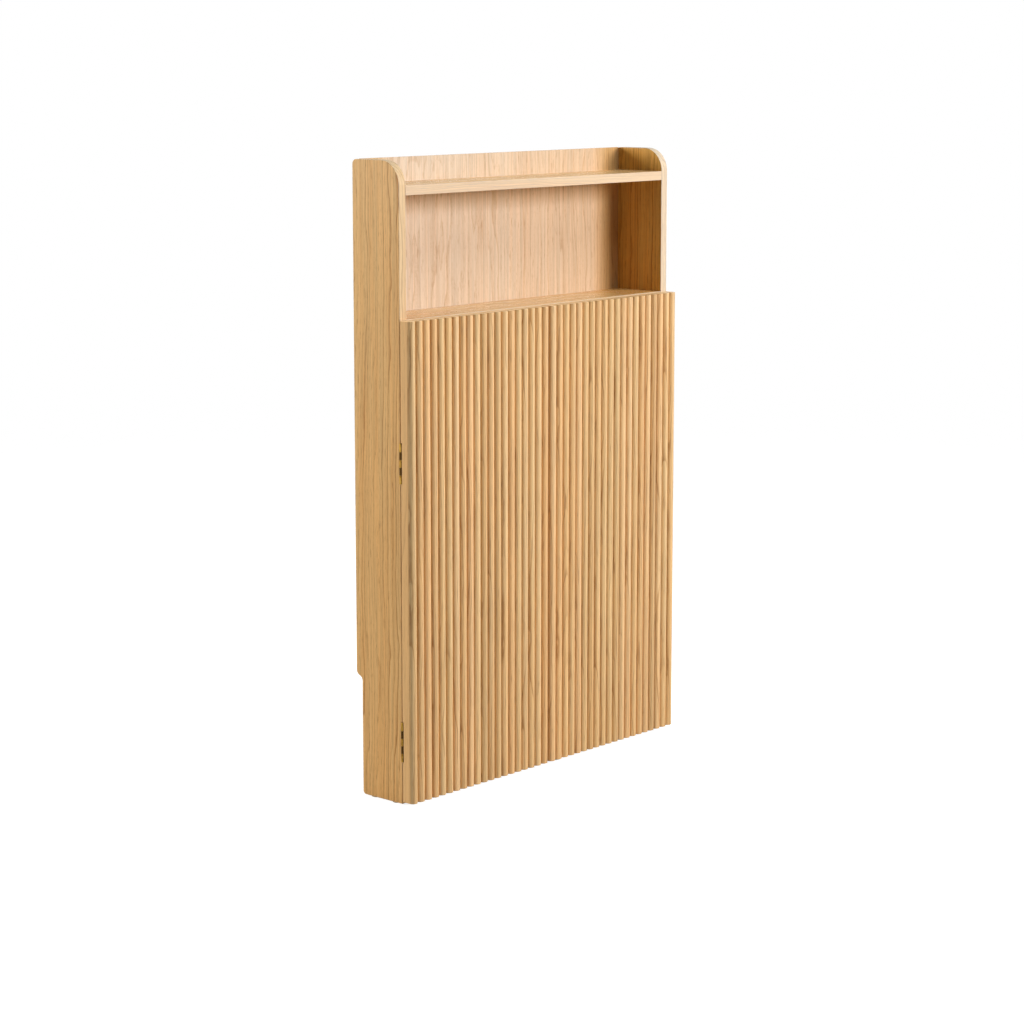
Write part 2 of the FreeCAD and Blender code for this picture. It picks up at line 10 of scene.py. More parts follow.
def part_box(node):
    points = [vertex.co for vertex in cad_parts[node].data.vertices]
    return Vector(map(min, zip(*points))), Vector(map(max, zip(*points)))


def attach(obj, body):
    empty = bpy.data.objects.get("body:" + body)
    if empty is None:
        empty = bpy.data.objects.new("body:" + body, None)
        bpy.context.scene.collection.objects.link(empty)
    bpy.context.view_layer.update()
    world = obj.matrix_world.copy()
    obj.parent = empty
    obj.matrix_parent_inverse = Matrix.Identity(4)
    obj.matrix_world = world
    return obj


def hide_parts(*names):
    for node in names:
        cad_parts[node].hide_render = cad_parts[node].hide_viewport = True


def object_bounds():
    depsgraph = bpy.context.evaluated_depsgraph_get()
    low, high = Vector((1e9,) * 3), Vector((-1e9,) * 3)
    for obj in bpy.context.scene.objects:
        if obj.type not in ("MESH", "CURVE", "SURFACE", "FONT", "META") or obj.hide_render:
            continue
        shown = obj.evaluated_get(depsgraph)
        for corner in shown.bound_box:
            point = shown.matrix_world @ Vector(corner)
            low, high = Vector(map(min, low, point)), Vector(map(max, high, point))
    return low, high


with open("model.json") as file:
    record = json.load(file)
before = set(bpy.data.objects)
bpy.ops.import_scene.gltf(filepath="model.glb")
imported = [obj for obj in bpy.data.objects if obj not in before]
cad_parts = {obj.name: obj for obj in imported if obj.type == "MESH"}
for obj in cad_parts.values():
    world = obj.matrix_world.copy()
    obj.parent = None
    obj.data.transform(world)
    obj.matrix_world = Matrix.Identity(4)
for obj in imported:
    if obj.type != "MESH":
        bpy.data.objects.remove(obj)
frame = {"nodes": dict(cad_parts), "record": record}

# Looks of the fold down wall desk: oak veneers, fluted slats, brass hinges, small fittings, light, camera.
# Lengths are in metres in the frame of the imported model: X to the right, Y towards the wall, Z up.

cad_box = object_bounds()
nodes = frame["nodes"]
MM = 0.001


def srgb(red, green, blue):
    """A screen colour in steps of 255 as the linear colour that a shader takes."""
    levels = [step / 255 for step in (red, green, blue)]
    linear = [v / 12.92 if v <= 0.04045 else ((v + 0.055) / 1.055) ** 2.4 for v in levels]
    return (*linear, 1.0)


def feed(tree, socket, source):
    """Link an output to a socket, or set the socket to a plain value."""
    if isinstance(source, bpy.types.NodeSocket):
        tree.links.new(source, socket)
    else:
        socket.default_value = source


def node(tree, kind, inputs=None, **settings):
    """A shader node with its settings and its sockets filled by name or number."""
    made = tree.nodes.new(kind)
    for name, value in settings.items():
        setattr(made, name, value)
    for key, source in (inputs or {}).items():
        feed(tree, made.inputs[key], source)
    return made


def maths(tree, operation, *terms):
    """One number worked out from one to three others."""
    made = node(tree, "ShaderNodeMath", dict(enumerate(terms)), operation=operation)
    return made.outputs[0]


def vectors(tree, operation, *terms):
    """One vector worked out from others."""
    made = node(tree, "ShaderNodeVectorMath", dict(enumerate(terms)), operation=operation)
    return made.outputs["Value" if operation in ("DOT_PRODUCT", "LENGTH") else "Vector"]


def split(tree, vector):
    """The three parts of a vector."""
    return node(tree, "ShaderNodeSeparateXYZ", {"Vector": vector}).outputs


def join(tree, x, y, z):
    """A vector from three numbers."""
    return node(tree, "ShaderNodeCombineXYZ", {"X": x, "Y": y, "Z": z}).outputs[0]


def fade(tree, value, start, end, low=0.0, high=1.0):
    """A smooth step from low to high as the value goes from start to end."""
    inputs = {"Value": value, "From Min": start, "From Max": end, "To Min": low, "To Max": high}
    return node(tree, "ShaderNodeMapRange", inputs, interpolation_type="SMOOTHSTEP").outputs[0]


def fade_line(tree, value, start, end):
    """0 to 1 in proportion as the value goes from start to end."""
    return node(tree, "ShaderNodeMapRange", {"Value": value, "From Min": start, "From Max": end}).outputs[0]


def noise(tree, vector, stretch, detail=2.0, output="Fac"):
    """Noise whose lumps have the given counts per metre along each axis."""
    scaled = vectors(tree, "MULTIPLY", vector, stretch)
    made = node(tree, "ShaderNodeTexNoise", {"Vector": scaled, "Scale": 1.0, "Detail": detail})
    return made.outputs[output]


def chance(tree, number):
    """A steady random colour for a whole number."""
    return node(tree, "ShaderNodeTexWhiteNoise", {"W": number}, noise_dimensions="1D").outputs["Color"]


def blend(tree, share, first, second, mode="MIX"):
    """Two colours mixed by a share."""
    made = node(tree, "ShaderNodeMix", data_type="RGBA", blend_type=mode, clamp_factor=True)
    colours = [socket for socket in made.inputs if socket.type == "RGBA"]
    feed(tree, made.inputs[0], share)
    feed(tree, colours[0], first)
    feed(tree, colours[1], second)
    return next(socket for socket in made.outputs if socket.type == "RGBA")


def ramp(tree, value, stops):
    """A colour read from straight runs between (place, (red, green, blue)) stops."""
    made = node(tree, "ShaderNodeValToRGB", {"Fac": value})
    points = made.color_ramp.elements
    while len(points) < len(stops):
        points.new(0.5)
    for point, (place, shade) in zip(points, stops):
        point.position = place
        point.color = (*shade, 1.0)
    return made.outputs["Color"]


SOCKETS = {"value": "NodeSocketFloat", "vector": "NodeSocketVector", "colour": "NodeSocketColor"}


def start_group(name, inputs, outputs):
    """A node group with named sockets: (tree, its inputs, its outputs)."""
    tree = bpy.data.node_groups.new(name, "ShaderNodeTree")
    for label, kind in inputs.items():
        tree.interface.new_socket(label, in_out="INPUT", socket_type=SOCKETS[kind])
    for label, kind in outputs.items():
        tree.interface.new_socket(label, in_out="OUTPUT", socket_type=SOCKETS[kind])
    return tree, tree.nodes.new("NodeGroupInput").outputs, tree.nodes.new("NodeGroupOutput").inputs


def use_group(tree, name, inputs):
    """A node group placed in a material with its own values."""
    return node(tree, "ShaderNodeGroup", inputs, node_tree=bpy.data.node_groups[name]).outputs


# how dark a growth ring is from its early wood to its late wood
RING_BAND = ((0.0, 0.6), (0.06, 1.0), (0.2, 0.6), (0.45, 0.1), (0.95, 0.0), (1.0, 0.6))
RING_RIPPLE = 1.6  # rings between the two ends of a ripple's push
YEAR_SPREAD = 4.0  # rings that good and poor years shift the count at most


def make_oak_figure():
    """Growth rings, pores and fibre of oak. Position runs across the face, into it and along the grain."""
    wants = {
        "Position": "vector", "Ring Width": "value", "Heart": "value", "Lean": "value", "Wander": "value",
        "Pore Width": "value", "Pore Length": "value",
    }
    gives = {"Rings": "value", "Pores": "value", "Fibre": "value", "Tone": "value"}
    tree, given, out = start_group("oak_figure", wants, gives)
    place = given["Position"]
    across, into, along = split(tree, place)
    slow = noise(tree, place, (9, 9, 2.2), 3, "Color")
    drift = split(tree, vectors(tree, "SUBTRACT", slow, (0.5, 0.5, 0.5)))
    ripple = maths(tree, "SUBTRACT", noise(tree, place, (42, 42, 11), 3), 0.5)
    # distance from the heart of the trunk, which leans through the board
    sway = maths(tree, "MULTIPLY_ADD", drift[0], given["Wander"], across)
    depth = maths(tree, "MULTIPLY_ADD", along, given["Lean"], maths(tree, "ADD", into, given["Heart"]))
    depth = maths(tree, "MULTIPLY_ADD", drift[1], given["Wander"], depth)
    reach = vectors(tree, "LENGTH", join(tree, sway, depth, 0.0))
    count = maths(tree, "DIVIDE", reach, given["Ring Width"])
    count = maths(tree, "MULTIPLY_ADD", ripple, RING_RIPPLE, count)
    # rings stand closer in some years than in others
    count = maths(tree, "MULTIPLY_ADD", noise(tree, place, (34, 34, 0.9)), YEAR_SPREAD, count)
    ring = maths(tree, "FRACT", count)
    band = ramp(tree, ring, [(spot, (level, level, level)) for spot, level in RING_BAND])
    weight = split(tree, chance(tree, maths(tree, "FLOOR", count)))[0]
    weight = maths(tree, "POWER", fade(tree, weight, 0.0, 1.0, 0.3, 1.0), 1.5)
    feed(tree, out["Rings"], maths(tree, "MULTIPLY", band, weight))
    # open vessels: long dashes, thick along the early wood of each ring
    early = maths(tree, "MULTIPLY_ADD", band, 0.7, 0.3)
    pore_size = join(tree, given["Pore Width"], given["Pore Width"], given["Pore Length"])
    vessels = vectors(tree, "DIVIDE", place, pore_size)
    long_dashes = fade(tree, noise(tree, vessels, (620, 620, 45), 1), 0.57, 0.68)
    short_dashes = fade(tree, noise(tree, vessels, (1500, 1500, 130), 1), 0.56, 0.68, 0.0, 0.75)
    dashes = maths(tree, "MAXIMUM", long_dashes, short_dashes)
    feed(tree, out["Pores"], maths(tree, "MULTIPLY", dashes, early))
    feed(tree, out["Fibre"], noise(tree, place, (330, 330, 5), 3))
    streaks = maths(tree, "ADD", noise(tree, place, (18, 18, 1.2)), noise(tree, place, (120, 120, 2.2)))
    feed(tree, out["Tone"], fade(tree, streaks, 0.7, 1.3))


def make_oak_tones():
    """Colour, gloss and relief of a lacquered oak surface from its figure."""
    wants = {
        "Rings": "value", "Pores": "value", "Fibre": "value", "Tone": "value",
        "Light": "colour", "Dark": "colour", "Pore": "colour", "Blush": "colour",
        "Ring Strength": "value", "Pore Strength": "value", "Gloss": "value",
    }
    gives = {"Color": "colour", "Roughness": "value", "Height": "value"}
    tree, given, out = start_group("oak_tones", wants, gives)
    ringed = maths(tree, "MULTIPLY", given["Rings"], given["Ring Strength"])
    base = blend(tree, ringed, given["Light"], given["Dark"])
    base = blend(tree, given["Tone"], base, given["Blush"], "MULTIPLY")
    shade = fade(tree, given["Fibre"], 0.25, 0.75, 0.86, 1.1)
    shaded = node(tree, "ShaderNodeVectorMath", {0: base, "Scale": shade}, operation="SCALE").outputs[0]
    pored = maths(tree, "MULTIPLY", given["Pores"], given["Pore Strength"])
    feed(tree, out["Color"], blend(tree, pored, shaded, given["Pore"]))
    dull = maths(tree, "MULTIPLY_ADD", given["Pores"], 0.2, given["Gloss"])
    feed(tree, out["Roughness"], maths(tree, "MULTIPLY_ADD", given["Rings"], 0.06, dull))
    low = maths(tree, "MULTIPLY_ADD", given["Pores"], -0.8, 1.0)
    low = maths(tree, "MULTIPLY_ADD", given["Rings"], -0.25, low)
    feed(tree, out["Height"], maths(tree, "MULTIPLY_ADD", given["Fibre"], 0.25, low))


def make_edge_band():
    """1 on the narrow edges of a board, whose broad faces look along an axis, and 0 on those faces."""
    tree, given, out = start_group("edge_band", {"Broad Axis": "vector"}, {"Edge": "value"})
    facing = node(tree, "ShaderNodeTexCoord").outputs["Normal"]
    square = maths(tree, "ABSOLUTE", vectors(tree, "DOT_PRODUCT", facing, given["Broad Axis"]))
    feed(tree, out["Edge"], fade(tree, square, 0.55, 0.85, 1.0, 0.0))


INSIDE_HALF = 310 * MM  # half the clear width between the side panels
SHADE_NEAR = 5 * MM  # below the shelf, down to here its painted shadow is full
SHADE_FAR = 45 * MM  # and here it ends


def make_painted_shading():
    """Painted light and shade on a board: a painted change of light across the desk, and painted shadows.

    The painted shadow of the side panels sets in between Start and End, distances from the desk's middle,
    on the face that looks along Inward. A painted shadow of the shelf lies below it, whose underside is at
    the height Ceiling.
    """
    wants = {
        "Position": "vector", "Color": "colour", "Left": "colour", "Right": "colour", "Painted Side Shade": "colour",
        "Start": "value", "End": "value", "Inward": "vector", "Painted Shelf Shade": "colour", "Ceiling": "value",
    }
    tree, given, out = start_group("painted_shading", wants, {"Color": "colour"})
    across, _, height = split(tree, given["Position"])
    share = fade_line(tree, across, -INSIDE_HALF, INSIDE_HALF)
    # painted light: a tint that changes from the left tint to the right tint across the desk
    drift = blend(tree, share, given["Left"], given["Right"])
    colour = blend(tree, 1.0, given["Color"], drift, "MULTIPLY")
    # painted shadow of the side panels on the face that looks along Inward
    shade = fade(tree, maths(tree, "ABSOLUTE", across), given["Start"], given["End"])
    facing = node(tree, "ShaderNodeTexCoord").outputs["Normal"]
    square = fade(tree, vectors(tree, "DOT_PRODUCT", facing, given["Inward"]), 0.5, 0.9)
    shade = maths(tree, "MULTIPLY", shade, square)
    colour = blend(tree, shade, colour, given["Painted Side Shade"], "MULTIPLY")
    # painted shadow below the shelf
    below = maths(tree, "SUBTRACT", given["Ceiling"], height)
    painted_shelf_shade = fade(tree, below, SHADE_NEAR, SHADE_FAR, 1.0, 0.0)
    # the board goes on above the shelf, where no shadow is painted
    painted_shelf_shade = maths(tree, "MULTIPLY", painted_shelf_shade, maths(tree, "GREATER_THAN", below, -SHADE_NEAR))
    painted_shelf_shade = maths(tree, "MULTIPLY", painted_shelf_shade, square)
    feed(tree, out["Color"], blend(tree, painted_shelf_shade, colour, given["Painted Shelf Shade"], "MULTIPLY"))


def make_handled_edges():
    """A rubbed line along the edges of a board between its lowest and highest corners."""
    wants = {"Position": "vector", "Low": "vector", "High": "vector", "Width": "value"}
    tree, given, out = start_group("handled_edges", wants, {"Wear": "value"})
    place = given["Position"]
    from_low = vectors(tree, "SUBTRACT", place, given["Low"])
    from_high = vectors(tree, "SUBTRACT", given["High"], place)
    x, y, z = split(tree, vectors(tree, "MINIMUM", from_low, from_high))
    # the nearest face is the one the point is on, so the second nearest gives the distance to an edge
    lower = maths(tree, "MINIMUM", x, y)
    upper = maths(tree, "MAXIMUM", x, y)
    to_edge = maths(tree, "MAXIMUM", lower, maths(tree, "MINIMUM", upper, z))
    patchy = noise(tree, place, (45, 45, 45), 4)
    reach = maths(tree, "MULTIPLY", given["Width"], fade(tree, patchy, 0.35, 0.7, 0.25, 1.0))
    feed(tree, out["Wear"], fade(tree, maths(tree, "DIVIDE", to_edge, reach), 0.0, 1.0, 1.0, 0.0))


def make_metal_lines():
    """Fine polishing lines and cloudy patches on metal; Stretch gives the lines' counts per metre."""
    wants = {"Position": "vector", "Stretch": "vector"}
    gives = {"Lines": "value", "Clouds": "value"}
    tree, given, out = start_group("metal_lines", wants, gives)
    feed(tree, out["Lines"], noise(tree, given["Position"], given["Stretch"], 3))
    feed(tree, out["Clouds"], fade(tree, noise(tree, given["Position"], (140, 140, 140), 4), 0.35, 0.7))


def make_moulded_skin():
    """The fine matt grain and slow tone of a moulded piece."""
    gives = {"Grain": "value", "Tone": "value"}
    tree, given, out = start_group("moulded_skin", {"Position": "vector"}, gives)
    feed(tree, out["Grain"], noise(tree, given["Position"], (2600, 2600, 2600), 3))
    feed(tree, out["Tone"], fade(tree, noise(tree, given["Position"], (90, 90, 90), 3), 0.3, 0.7))


WHITE = (1.0, 1.0, 1.0, 1.0)


@dataclass
class Oak:
    """One oak finish: how the board was cut, and its tones."""

    grain: str  # the model's axes across the face, into it and along the grain
    light: tuple  # late wood
    dark: tuple  # early wood
    pore: tuple
    blush: tuple = srgb(255, 243, 228)  # slow streaks, multiplied over the rest
    edge: tuple = srgb(198, 177, 153)  # narrow edges and rubbed corners
    ring_width: float = 6 * MM
    heart: float = 35 * MM  # from the board to the trunk's heart
    lean: float = 0.02  # the heart's way into the board per length of grain
    wander: float = 34 * MM
    ring_strength: float = 0.75
    pore_strength: float = 0.55
    pore_width: float = 1.0
    pore_length: float = 1.0
    gloss: float = 0.42
    relief: float = 0.2
    sheen: float = 0.25
    edge_share: float = 0.35
    shift: tuple = (0.0, 0.0, 0.0)  # the board's own cut of the trunk
    left: tuple = WHITE  # painted light: tint towards the left side panel
    right: tuple = WHITE  # painted light and shade: tint towards the right side panel
    deep: tuple = WHITE  # painted shade: tint in the shadow of a side panel
    shade: tuple = (0.0, 0.1)  # where the painted shade starts and is full, from the desk's middle
    inward: tuple = (0.0, 0.0, 1.0)  # the way the face with the painted shade looks
    shelf_shadow_tint: tuple = WHITE  # painted shade: tint in the shadow of the shelf


BROAD_AXIS = {"X": (1, 0, 0), "Y": (0, 1, 0), "Z": (0, 0, 1)}
PORE_DEPTH = 0.25 * MM
WEAR_WIDTH = 2.2 * MM
WEAR_SHARE = 0.3
WEAR_POLISH = -0.06


def start_material(name):
    """A material with an empty Principled shader: (material, its tree, the shader)."""
    material = bpy.data.materials.new(name)
    material.use_nodes = True
    shader = material.node_tree.nodes["Principled BSDF"]
    return material, material.node_tree, shader


def model_position(tree):
    """A point's place in the model at rest, in metres."""
    return node(tree, "ShaderNodeTexCoord").outputs["Object"]


def turn_to_grain(tree, position, grain, shift):
    """A place in the model as one across a board, into it and along its grain, moved to its own cut."""
    parts = dict(zip("XYZ", split(tree, position)))
    turned = join(tree, *(parts[axis] for axis in grain))
    return vectors(tree, "ADD", turned, shift)


def raise_relief(tree, shader, height, strength, distance):
    """Bump a shader by a height."""
    bump = node(tree, "ShaderNodeBump", {"Height": height, "Strength": strength, "Distance": distance})
    feed(tree, shader.inputs["Normal"], bump.outputs["Normal"])


def oak_surface(tree, place, oak):
    """The colour, gloss and relief of an oak finish at a place in its board."""
    figure = use_group(tree, "oak_figure", {
        "Position": place, "Ring Width": oak.ring_width, "Heart": oak.heart, "Lean": oak.lean,
        "Wander": oak.wander, "Pore Width": oak.pore_width, "Pore Length": oak.pore_length,
    })
    inputs = {label: figure[label] for label in ("Rings", "Pores", "Fibre", "Tone")}
    inputs |= {"Light": oak.light, "Dark": oak.dark, "Pore": oak.pore, "Blush": oak.blush}
    inputs |= {"Ring Strength": oak.ring_strength, "Pore Strength": oak.pore_strength, "Gloss": oak.gloss}
    return use_group(tree, "oak_tones", inputs)


def oak_board(name, oak):
    """The material of one oak board: veneered faces with painted light and shade, paler edges, rubbed
    corners.
    """
    material, tree, shader = start_material(f"{name}_oak")
    position = model_position(tree)
    surface = oak_surface(tree, turn_to_grain(tree, position, oak.grain, oak.shift), oak)
    edge = use_group(tree, "edge_band", {"Broad Axis": BROAD_AXIS[oak.grain[1]]})["Edge"]
    # painted light and shade across the board, from the side panels and the shelf
    with_painted_shading = use_group(tree, "painted_shading", {
        "Position": position, "Color": surface["Color"], "Left": oak.left, "Right": oak.right,
        "Painted Side Shade": oak.deep, "Start": oak.shade[0], "End": oak.shade[1], "Inward": oak.inward,
        "Painted Shelf Shade": oak.shelf_shadow_tint, "Ceiling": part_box("top_shelf")[0].z,
    })["Color"]
    colour = blend(tree, maths(tree, "MULTIPLY", edge, oak.edge_share), with_painted_shading, oak.edge)
    low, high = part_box(name)
    corners = {"Position": position, "Low": low, "High": high, "Width": WEAR_WIDTH}
    wear = use_group(tree, "handled_edges", corners)["Wear"]
    colour = blend(tree, maths(tree, "MULTIPLY", wear, WEAR_SHARE), colour, oak.edge)
    feed(tree, shader.inputs["Base Color"], colour)
    rough = maths(tree, "MULTIPLY_ADD", wear, WEAR_POLISH, surface["Roughness"])
    feed(tree, shader.inputs["Roughness"], rough)
    raise_relief(tree, shader, surface["Height"], oak.relief, PORE_DEPTH)
    shader.inputs["Specular IOR Level"].default_value = oak.sheen
    return material


SIDE_OAK = Oak(
    "YXZ", srgb(224, 186, 130), srgb(172, 124, 68), srgb(136, 94, 50), ring_strength=0.95,
    # painted shade: the inner faces of the side panels are darker
    deep=(0.88, 0.8, 0.46, 1.0),
)
SHELF_OAK = Oak(
    "YZX", srgb(228, 187, 128), srgb(180, 132, 78), srgb(140, 98, 54), edge=srgb(206, 193, 181),
    edge_share=0.45, ring_width=4 * MM, ring_strength=0.9, gloss=0.2, relief=0.05, sheen=0.32,
)
BACK_OAK = Oak(
    "XYZ", srgb(211, 185, 155), srgb(182, 144, 104), srgb(160, 118, 76), blush=srgb(255, 248, 241),
    ring_width=7 * MM, wander=60 * MM, ring_strength=0.6,
    pore_strength=0.45, pore_width=1.3, pore_length=0.8,
    # painted light and shade: paler and cooler towards the left, darker and warmer towards the right
    left=(1.04, 1.1, 1.22, 1.0), right=(0.97, 0.92, 0.86, 1.0),
    # painted shadow of the side panels at the ends of the back's front face
    deep=(0.88, 0.73, 0.45, 1.0), shade=(0.235, 0.285), inward=(0.0, -1.0, 0.0),
    # painted shadow below the shelf
    shelf_shadow_tint=(1.1, 1.0, 0.8, 1.0),
)
DOOR_OAK = Oak(
    "XYZ", srgb(222, 184, 128), srgb(180, 136, 82), srgb(134, 94, 50),
    edge=srgb(236, 198, 148), edge_share=0.45,
)
SLAT_OAK = Oak(
    "XYZ", srgb(226, 188, 138), srgb(180, 132, 76), srgb(130, 84, 34),
    ring_width=4 * MM, ring_strength=0.8, pore_length=2.5, gloss=0.36, sheen=0.4,
)
RAIL_OAK = Oak("ZYX", srgb(222, 200, 162), srgb(204, 176, 132), srgb(170, 138, 96), gloss=0.55)

OAK_BOARDS = {
    "left_side_panel": replace(SIDE_OAK, inward=(1.0, 0.0, 0.0), shift=(0.09, 0.32, 0.35)),
    "right_side_panel": replace(
        # the pale, cool edge colour of this panel is a painted highlight
        SIDE_OAK, edge=srgb(192, 202, 206), sheen=0.1, inward=(-1.0, 0.0, 0.0), shift=(0.12, -0.3, 1.7),
    ),
    "top_shelf": replace(SHELF_OAK, shift=(0.05, 0.3, 2.2)),
    "niche_deck": replace(
        # painted shadow of the side panels at both ends of the deck, and an oak a little darker than the
        # shelf's as painted shade of the niche
        SHELF_OAK, light=srgb(221, 180, 122), deep=(0.95, 0.84, 0.62, 1.0), shade=(0.15, 0.29),
        shift=(0.09, 0.6, 4.1),
    ),
    "bottom_board": replace(SHELF_OAK, shift=(0.02, 0.8, 6.3)),
    "back_panel": replace(BACK_OAK, shift=(0.13, 0.1, 0.6)),
    "lower_back_panel": replace(BACK_OAK, shift=(0.4, 0.5, 3.1)),
    "desk_leaf": replace(SHELF_OAK, grain="ZYX", shift=(0.3, 0.2, 1.1)),
    "leaf_front_lipping": replace(SHELF_OAK, shift=(0.1, 0.4, 5.2)),
    "left_door_board": replace(DOOR_OAK, shift=(0.07, 0.2, 2.7)),
    "right_door_board": replace(DOOR_OAK, shift=(0.61, 0.7, 4.9)),
    "left_support_cleat": replace(SHELF_OAK, grain="ZYX", shift=(0.2, 0.1, 3.3)),
    "right_support_cleat": replace(SHELF_OAK, grain="ZYX", shift=(0.5, 0.6, 7.3)),
    "upper_fixing_rail": replace(RAIL_OAK, shift=(0.1, 0.2, 0.9)),
    "lower_fixing_rail": replace(RAIL_OAK, shift=(0.4, 0.5, 2.9)),
    "step_batten": replace(RAIL_OAK, shift=(0.7, 0.8, 5.9)),
}


SLATS_PER_DOOR = 20
SLAT_COAT = 0.5
SLAT_COAT_ROUGHNESS = 0.2
SLAT_STOCK = (3.0, 1.0, 5.0)  # how far apart the slats' cuts may lie in the timber
# a slat's tint by its luck
SLAT_TINTS = (
    (0.0, (0.82, 0.78, 0.66)),
    (0.25, (0.96, 0.96, 0.85)),
    (0.5, (1.04, 1.01, 0.96)),
    (0.75, (1.0, 1.0, 0.9)),
    (1.0, (0.93, 0.85, 0.71)),
)


def slat_oak(name):
    """The material of a door's slats: each slat is its own strip of oak, with its own cut and tint."""
    material, tree, shader = start_material(f"{name}_oak")
    low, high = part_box(name)
    position = model_position(tree)
    # slats lie edge to edge across the door, so the share of its width gives a slat's number
    share = fade_line(tree, split(tree, position)[0], low.x, high.x)
    # a little under the count, so that the far edge still belongs to the last slat
    number = maths(tree, "FLOOR", maths(tree, "MULTIPLY", share, SLATS_PER_DOOR - 0.001))
    # the door's own place keeps the two doors' slats apart
    number = maths(tree, "ADD", number, round(low.x / MM))
    luck = chance(tree, number)
    cut = vectors(tree, "MULTIPLY", luck, SLAT_STOCK)
    surface = oak_surface(tree, vectors(tree, "ADD", position, cut), SLAT_OAK)
    tint = ramp(tree, split(tree, luck)[1], SLAT_TINTS)
    feed(tree, shader.inputs["Base Color"], blend(tree, 1.0, surface["Color"], tint, "MULTIPLY"))
    feed(tree, shader.inputs["Roughness"], surface["Roughness"])
    raise_relief(tree, shader, surface["Height"], SLAT_OAK.relief, PORE_DEPTH)
    shader.inputs["Specular IOR Level"].default_value = SLAT_OAK.sheen
    shader.inputs["Coat Weight"].default_value = SLAT_COAT
    shader.inputs["Coat Roughness"].default_value = SLAT_COAT_ROUGHNESS
    return material


FLECK_DEPTH = 0.1 * MM


def dowel_beech():
    """Plain beech: short fine flecks on an even pinkish ground."""
    material, tree, shader = start_material("dowel_beech")
    position = model_position(tree)
    flecks = fade(tree, noise(tree, position, (260, 900, 900), 2), 0.5, 0.68)
    ground = blend(tree, noise(tree, position, (20, 220, 220)), srgb(222, 188, 150), srgb(206, 168, 128))
    feed(tree, shader.inputs["Base Color"], blend(tree, flecks, ground, srgb(178, 134, 94)))
    feed(tree, shader.inputs["Roughness"], maths(tree, "MULTIPLY_ADD", flecks, 0.1, 0.55))
    raise_relief(tree, shader, flecks, 0.1, FLECK_DEPTH)
    return material


# painted shade on a hinge starts and is full this far inward of its pin
BARREL_SHADE_START = 5 * MM
BARREL_SHADE_FULL = 2.5 * MM
POLISH_DEPTH = 0.05 * MM


def metal(name, bright, dull, stretch, gloss, barrel_shade=None):
    """A metal with fine polishing lines and cloudy, duller patches.

    A painted shade colour covers what lies round a hinge barrel, at the outer faces of the desk.
    """
    material, tree, shader = start_material(name)
    position = model_position(tree)
    lines = use_group(tree, "metal_lines", {"Position": position, "Stretch": stretch})
    colour = blend(tree, lines["Clouds"], bright, dull)
    if barrel_shade:
        low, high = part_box("right_upper_hinge_pin")
        barrel = (low.x + high.x) / 2
        outer = maths(tree, "ABSOLUTE", split(tree, position)[0])
        barrel_shade_share = fade(tree, outer, barrel - BARREL_SHADE_START, barrel - BARREL_SHADE_FULL)
        # painted shade round the hinge barrel
        colour = blend(tree, barrel_shade_share, colour, barrel_shade)
    feed(tree, shader.inputs["Base Color"], colour)
    rough = maths(tree, "MULTIPLY_ADD", lines["Clouds"], 0.14, gloss)
    feed(tree, shader.inputs["Roughness"], maths(tree, "MULTIPLY_ADD", lines["Lines"], 0.12, rough))
    shader.inputs["Metallic"].default_value = 1.0
    raise_relief(tree, shader, lines["Lines"], 0.12, POLISH_DEPTH)
    return material


SKIN_DEPTH = 0.08 * MM


def moulded(name, pale, deep, roughness):
    """A moulded plastic or rubber with a fine matt skin."""
    material, tree, shader = start_material(name)
    skin = use_group(tree, "moulded_skin", {"Position": model_position(tree)})
    feed(tree, shader.inputs["Base Color"], blend(tree, skin["Tone"], pale, deep))
    feed(tree, shader.inputs["Roughness"], maths(tree, "MULTIPLY_ADD", skin["Grain"], 0.2, roughness))
    raise_relief(tree, shader, skin["Grain"], 0.15, SKIN_DEPTH)
    return material


def dress(name, material):
    """Give a node its material."""
    slots = nodes[name].data.materials
    slots.clear()
    slots.append(material)


WELD_REACH = 0.002 * MM
FLAT_WITHIN = math.radians(0.5)  # facets of one flat face turn by less than this
SHARP_FROM = math.radians(40)  # an edge that turns by more is eased


def ease_edges(name, width, segments=3):
    """Round the sharp edges of a node a little, as sanding or moulding leaves them."""
    piece = nodes[name]
    weld = piece.modifiers.new("joined_faces", "WELD")
    weld.merge_threshold = WELD_REACH
    flats = piece.modifiers.new("whole_flats", "DECIMATE")
    flats.decimate_type = "DISSOLVE"
    flats.angle_limit = FLAT_WITHIN
    bevel = piece.modifiers.new("eased_edges", "BEVEL")
    bevel.width = width
    bevel.segments = segments
    bevel.limit_method = "ANGLE"
    bevel.angle_limit = SHARP_FROM
    bevel.use_clamp_overlap = False
    piece.modifiers.new("even_shading", "WEIGHTED_NORMAL")


for make in (
    make_oak_figure, make_oak_tones, make_edge_band, make_painted_shading, make_handled_edges,
    make_metal_lines, make_moulded_skin,
):
    make()

# how far sanding or moulding rounds an edge
BOARD_EASE = 0.6 * MM
SLAT_EASE = 0.5 * MM
FITTING_EASE = 0.2 * MM
THIN_SHEETS = ("back_panel", "lower_back_panel")  # their edges stay as cut
for board, oak in OAK_BOARDS.items():
    dress(board, oak_board(board, oak))
    if board not in THIN_SHEETS:
        ease_edges(board, BOARD_EASE)
for slats in ("left_door_slats", "right_door_slats"):
    dress(slats, slat_oak(slats))
    ease_edges(slats, SLAT_EASE)

beech = dowel_beech()
BRASS_FINISH = (srgb(206, 164, 78), srgb(158, 116, 48), (900, 900, 60), 0.22)
brass = metal("hinge_brass", *BRASS_FINISH)
